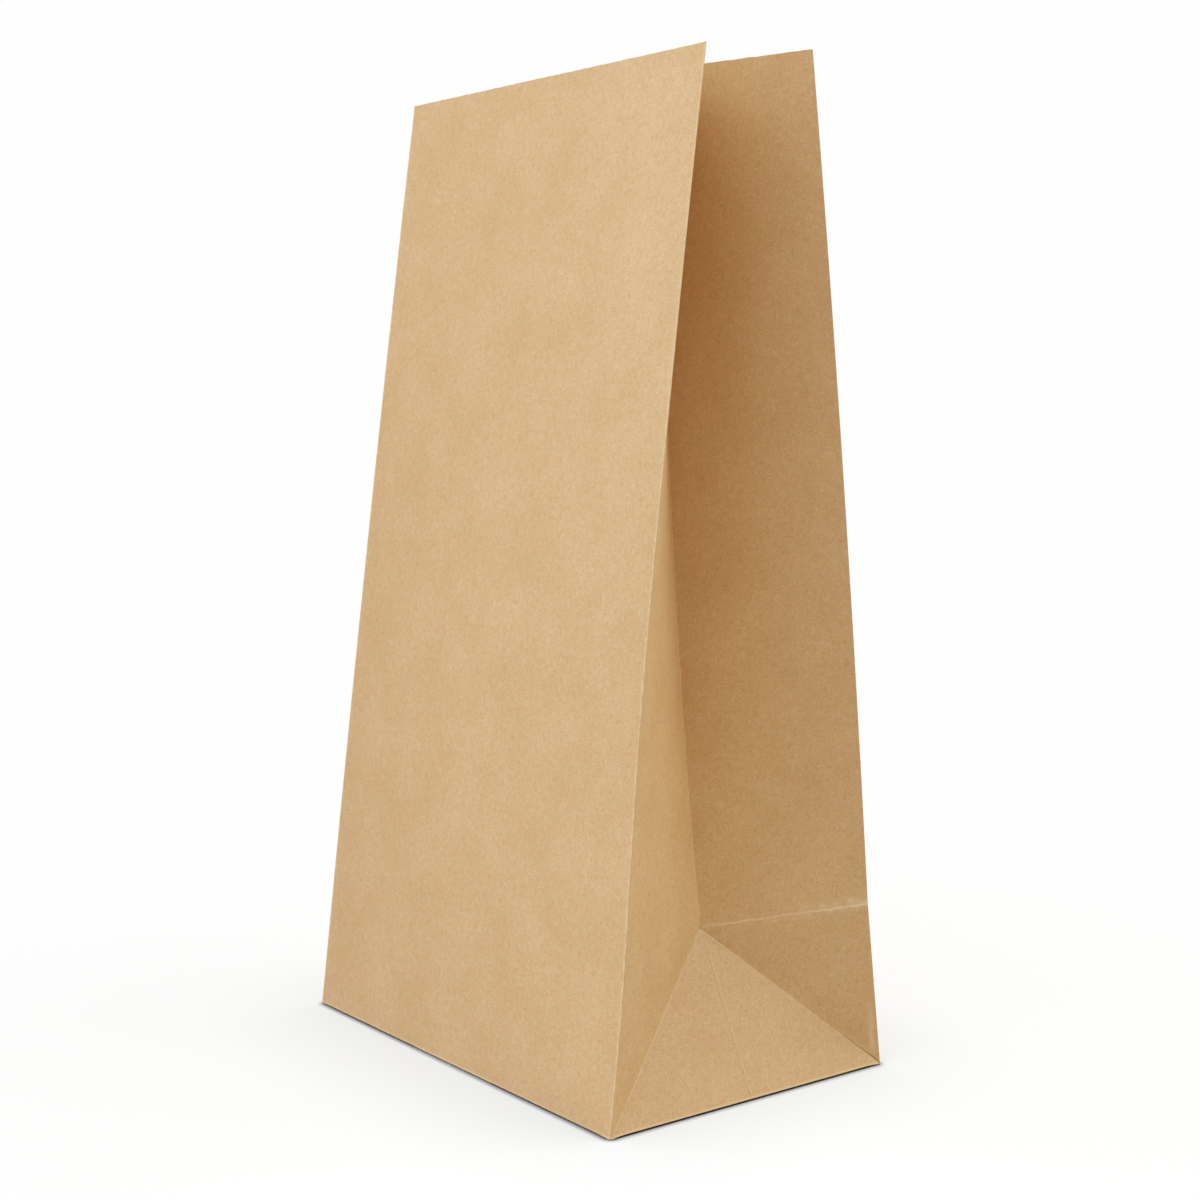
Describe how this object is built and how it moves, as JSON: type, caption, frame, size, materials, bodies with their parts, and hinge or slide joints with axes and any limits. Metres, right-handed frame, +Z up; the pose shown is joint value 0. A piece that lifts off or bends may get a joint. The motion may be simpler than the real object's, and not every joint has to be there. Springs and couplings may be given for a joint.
{
  "type": "brown paper lunch bag",
  "caption": "Brown kraft paper lunch bag with a flat bottom and side gussets, standing open.",
  "frame": {"origin": "middle of the base, on the surface that the bag stands on", "axes": "+Z up to the mouth, the front panel faces -Y, +X to the right of the front panel"},
  "size_m": [0.127, 0.0811, 0.236],
  "materials": {
    "kraft_paper": "uncoated natural kraft, matte, fine fibre"
  },
  "bodies": {
    "root": {"paper_bag": "kraft_paper"}
  },
  "joints": []
}
